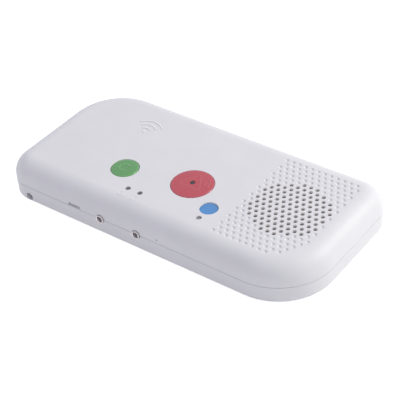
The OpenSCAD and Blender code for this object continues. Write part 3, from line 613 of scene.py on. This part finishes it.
call_red = moulded_plastic("call_red", (0.50, 0.077, 0.10), roughness=0.26, grain=0.2,
                           edge=0.12 * mm, wear=0.1)
# Painted highlight: the crests of the triangle and waves and a band inside the rim are paled.
painted_highlight(call_red, call_x, call_y, call_top, crests=0.03, rim=call_radius, border=0.03)
bm = bmesh.new()
call_face = below(call_top, (field_radius, 0), (11.4, 0), (11.56, 0.03), (11.7, 0.1), (11.82, 0.21),
                  (11.91, 0.33), (11.97, 0.46), (call_radius, 0.65), (call_radius, 1.5), (11.85, 1.65))
call_skirt = skirt(call_top, field_radius, inner=10.35, flange=13.25, outer=11.85)
lathe(bm, call_face + call_skirt[::-1], (call_x, call_y, 0), steps=96)
call_ceiling = call_top - cap_skin
boss_profile = below(call_top, (eye_mouth, 0), (eye_radius, 0.12)) + [
    (eye_radius, boss_low), (boss_radius, boss_low), (boss_radius, call_ceiling)]
lathe(bm, boss_profile, (eye_x, eye_y, 0), steps=40)
for hole_radius, height in ((eye_mouth, call_top), (boss_radius, call_ceiling)):
    bmesh.ops.triangle_fill(bm, use_beauty=True, edges=hoop(bm, call_x, call_y, field_radius, height)
                            + hoop(bm, eye_x, eye_y, hole_radius, height))
for offset in call_posts:
    post(bm, call_x + offset, call_y, call_top)
triangle = [Vector((call_x + a, call_y + b)) for a, b in ((-7.2, -3.3), (6.8, -3.3), (-0.3, 8.2))]
raised_outline(bm, triangle, bend=0.8, section=ridge((0.6, -0.01), (0.42, 0.03), (0.2, 0.13), (0, 0.155)),
               level=call_top)
for radius in wave_radii:
    raised_arc(bm, (wave_x, wave_y, call_top), radius, start=-10, stop=55,
               section=ridge((0.45, -0.02), (0.33, 0.05), (0.17, 0.17), (0, 0.2)))
piece(bm, "call_cap", call_red, "call", "call_button")

smoked_lens = moulded_plastic("smoked_lens", (0.045, 0.043, 0.05), roughness=0.3, grain=0.1,
                              edge=0.05 * mm, wear=0.0, Coat_Weight=0.1)
window_radius, window_low = 1.45, 20.1
bm = bmesh.new()
window_profile = [(0, window_low), (window_radius, window_low)] + below(
    call_top, (window_radius, 0.3), (1.36, 0.22), (1.1, 0.16), (0.6, 0.13), (0, 0.12))
lathe(bm, window_profile, (eye_x, eye_y, 0), steps=40)
piece(bm, "call_window", smoked_lens, "call", "call_lens")


# Cancel button: a faintly domed green cap with a well rounded rim, moulded with its flange
# and post. It stands a little proud, with a raised open ring in its middle.
cancel_x, cancel_y, cancel_top, cancel_radius = -33.107, -16.898, 24.5, 7.8
ring_x, ring_y, ring_level, ring_radius = cancel_x - 0.46, cancel_y + 0.08, cancel_top - 0.11, 2.8
cancel_green = moulded_plastic("cancel_green", (0.122, 0.33, 0.12), roughness=0.26, grain=0.2,
                               edge=0.12 * mm, wear=0.1)
# Painted highlight: the ring's crest and a band inside the rim are paled to a lighter green, which also
# lifts the shade low on the rim.
painted_highlight(cancel_green, cancel_x, cancel_y, cancel_top, crests=0.75, rim=cancel_radius, border=0.5,
       tone=(0.19, 0.48, 0.18))
bm = bmesh.new()
cancel_face = below(cancel_top, (cancel_radius, 1.0), (7.77, 0.8), (7.68, 0.62), (7.52, 0.45),
                    (7.3, 0.33), (7.0, 0.25), (6.0, 0.2), (4.6, 0.155), (3.0, 0.122), (1.5, 0.105),
                    (0, 0.1))
lathe(bm, skirt(cancel_top, 0, inner=6.3, flange=9.2, outer=cancel_radius) + cancel_face,
      (cancel_x, cancel_y, 0), steps=72)
post(bm, cancel_x, cancel_y, cancel_top)
raised_arc(bm, (ring_x, ring_y, ring_level), ring_radius, start=38, stop=331,
           section=ridge((0.6, -0.06), (0.44, 0.03), (0.22, 0.17), (0, 0.215)))
piece(bm, "cancel_cap", cancel_green, "cancel", "cancel_button")


# Service button: a small blue cap with a shallow dish, moulded with its flange and post, set
# below the case top so that it isn't pressed by chance.
service_x, service_y, service_top = 26.836, -21.099, 23.5
service_blue = moulded_plastic("service_blue", (0.084, 0.265, 0.575), roughness=0.24, grain=0.2,
                               edge=0.12 * mm, wear=0.1)
bm = bmesh.new()
service_face = below(service_top, (4.8, 1.3), (4.99, 1.15), (4.99, 0.4), (4.93, 0.18), (4.77, 0.05),
                     (4.5, 0), (4.0, 0.02), (2.6, 0.06), (0, 0.08))
lathe(bm, skirt(service_top, 0, inner=3.3, flange=6.2, outer=4.8) + service_face,
      (service_x, service_y, 0), steps=64)
post(bm, service_x, service_y, service_top)
piece(bm, "service_cap", service_blue, "service", "service_button")


# Status lenses: three light guides, two of smoked and the right one of milky plastic, each
# with a collar under the case top and a softly domed end just below its surface.
lens_grey = moulded_plastic("lens_grey", (0.11, 0.108, 0.115), roughness=0.3, grain=0.1,
                            edge=0.05 * mm, wear=0.0, Coat_Weight=0.2)
milky_grey = (0.24, 0.24, 0.25)
tree, surface, skin, place = over(lens_grey)
parts = lay(tree, "SeparateXYZ")
right_side = lay(tree, "MapRange", From_Min=0.0, From_Max=mm)
milky = lay(tree, "Mix", data_type="RGBA", B=(*milky_grey, 1))
wire(tree, (place, parts.inputs["Vector"]), (parts.outputs["X"], right_side.inputs["Value"]),
     (right_side.outputs["Result"], milky.inputs["Factor"]), (skin, milky.inputs["A"]),
     (milky.outputs["Result"], surface.inputs["Base Color"]))
lenses_x, lens_row = (-20.328, -12.307, 26.836), -30.029
lens_radius, lens_low, lens_end = 1.45, 16.1, 23.5
collar_radius, collar_low, collar_top = 2.15, 20.8, 21.8
guide_profile = [(0, lens_low), (lens_radius, lens_low), (lens_radius, collar_low),
                 (collar_radius, collar_low), (collar_radius, collar_top), (lens_radius, collar_top),
                 *below(lens_end, (lens_radius, 0.2), (1.38, 0.12), (1.2, 0.06), (0.7, 0.02), (0, 0))]
bm = bmesh.new()
for x in lenses_x:
    lathe(bm, guide_profile, (x, lens_row, 0), steps=40)
piece(bm, "light_guides", lens_grey, "case", "status_lenses")


# Screws: zinc plated steel with round heads. Four long ones with six-lobed drive holes close
# the case from below, and six short ones hold the board to posts of the top cover.
screw_places = ((-90, -37.5), (84, -32.5), (90, 38.5), (-84, 33.5))
screw_seat, head_radius, head_height = 3.0, 2.8, 1.6
drive_radius, drive_lobes, lobe_depth = 1.15, 6, 0.13
core_radius, thread_run, thread_pitch, thread_depth = 1.2, 9, 0.7, 0.16


def lobed_screw(bm, x, y):
    """A screw with its head below the seat and its thread upwards."""
    head_low, screw_end = screw_seat - head_height, screw_seat + thread_run
    root = core_radius - thread_depth
    drive = [(drive_radius, head_low + 0.9 * head_height), (drive_radius, head_low + 0.06)]
    rings = [*drive, (drive_radius + 0.35, head_low), (head_radius - 0.55, head_low + 0.04),
             (head_radius - 0.2, head_low + 0.22), (head_radius, head_low + 0.6),
             (head_radius, screw_seat), (core_radius, screw_seat)]
    for turn in range(int((thread_run - 0.8) / thread_pitch)):
        start = screw_seat + 0.2 + turn * thread_pitch
        rings += [(root, start), (root, start + 0.3), (core_radius, start + 0.45)]
    rings += [(core_radius, screw_end - 0.5), (core_radius - 0.35, screw_end)]
    before = None
    for ring in rings:
        radius, height = ring
        centre = Vector((x, y, height)) * mm
        verts = bmesh.ops.create_circle(bm, segments=48, radius=radius * mm,
                                        matrix=Matrix.Translation(centre))["verts"]
        if ring in drive:
            for vert in verts:
                arm = vert.co - centre
                arm *= 1 + lobe_depth * math.cos(drive_lobes * math.atan2(arm.y, arm.x))
                vert.co = centre + arm
        circle = list({edge for vert in verts for edge in vert.link_edges})
        if before:
            bmesh.ops.bridge_loops(bm, edges=before + circle)
        else:
            bm.faces.new(verts)
        before = circle
    bm.faces.new(verts)


bm = bmesh.new()
for x, y in screw_places:
    lobed_screw(bm, x, y)
piece(bm, "lobed_case_screws", zinc_steel, "case", "case_screws")
dress(zinc_steel, "board_screws")


# Studio: a wide floor of pale paper that shows as white to the camera, one large soft lamp
# from the right and behind, and a surround that is a little brighter to the back and above.
floor_half = 6.0
floor_mesh = bpy.data.meshes.new("floor")
sheet = bmesh.new()
bmesh.ops.create_grid(sheet, x_segments=1, y_segments=1, size=floor_half)
sheet.to_mesh(floor_mesh)
sheet.free()
floor = bpy.data.objects.new("floor", floor_mesh)
bpy.context.scene.collection.objects.link(floor)

paper, tree, surface = blank("floor_paper", Base_Color=(0.86, 0.86, 0.86, 1), Roughness=0.9,
                             Specular_IOR_Level=0.1)
ray = lay(tree, "LightPath")
seen = lay(tree, "Math", operation="MAXIMUM")
seen_through = lay(tree, "Math", operation="MAXIMUM")
lift = lay(tree, "Math", operation="MULTIPLY", second=0.75)
glow = lay(tree, "Emission")
both = lay(tree, "AddShader")
wire(tree,
     (ray.outputs["Is Camera Ray"], seen.inputs[0]),
     (ray.outputs["Is Glossy Ray"], seen.inputs[1]),
     (seen.outputs["Value"], seen_through.inputs[0]),
     (ray.outputs["Is Transmission Ray"], seen_through.inputs[1]),
     (seen_through.outputs["Value"], lift.inputs[0]),
     (lift.outputs["Value"], glow.inputs["Strength"]),
     (surface.outputs["BSDF"], both.inputs[0]),
     (glow.outputs["Emission"], both.inputs[1]),
     (both.outputs["Shader"], tree.nodes["Material Output"].inputs["Surface"]))
floor_mesh.materials.append(paper)

world = bpy.data.worlds.new("studio")
bpy.context.scene.world = world
world.use_nodes = True
tree = world.node_tree
surround = tree.nodes["Background"]
surround.inputs["Color"].default_value = (0.92, 0.912, 1.0, 1)
towards = lay(tree, "TexCoord")
bright_side = lay(tree, "VectorMath", operation="DOT_PRODUCT", second=(0, 0.8, 0.6))
level = lay(tree, "MapRange", From_Min=-1.0, From_Max=1.0, To_Min=0.62, To_Max=0.845)
white = lay(tree, "Background", Color=(1, 1, 1, 1), Strength=1.0)
ray = lay(tree, "LightPath")
pick = lay(tree, "MixShader")
wire(tree,
     (towards.outputs["Generated"], bright_side.inputs[0]),
     (bright_side.outputs["Value"], level.inputs["Value"]),
     (level.outputs["Result"], surround.inputs["Strength"]),
     (ray.outputs["Is Camera Ray"], pick.inputs["Fac"]),
     (surround.outputs["Background"], pick.inputs[1]),
     (white.outputs["Background"], pick.inputs[2]),
     (pick.outputs["Shader"], tree.nodes["World Output"].inputs["Surface"]))

key_from = Vector((0.60, 0.55, 0.58)).normalized()
key_distance, key_level = 1.2, 0.50
key = bpy.data.lights.new("key", "AREA")
key.shape = "DISK"
key.size = 0.5
key.energy = key_level * math.pi ** 2 * key_distance ** 2
key.color = (1.0, 0.99, 0.88)
key_lamp = bpy.data.objects.new("key", key)
key_lamp.location = key_from * key_distance
key_lamp.rotation_euler = key_from.to_track_quat("Z", "Y").to_euler()
bpy.context.scene.collection.objects.link(key_lamp)


# Camera: a long lens from the right front, a little rolled, as the photograph was taken.
# The columns of its turn are the camera's right, up and back.
camera_place = (0.33562, -0.40643, 0.42161)
camera_turn = Matrix((
    (0.804717, -0.327684, 0.495029),
    (0.590152, 0.532053, -0.607158),
    (-0.064426, 0.780733, 0.621535)))
lens = bpy.data.cameras.new("camera")
lens.sensor_width = 36.0
lens.lens = 109.39
lens.shift_x = -0.0006
lens.shift_y = 0.0005
lens.clip_end = 20.0
camera = bpy.data.objects.new("camera", lens)
camera.matrix_world = Matrix.Translation(camera_place) @ camera_turn.to_4x4()
bpy.context.scene.collection.objects.link(camera)
bpy.context.scene.camera = camera
bpy.context.scene.view_settings.view_transform = "Standard"
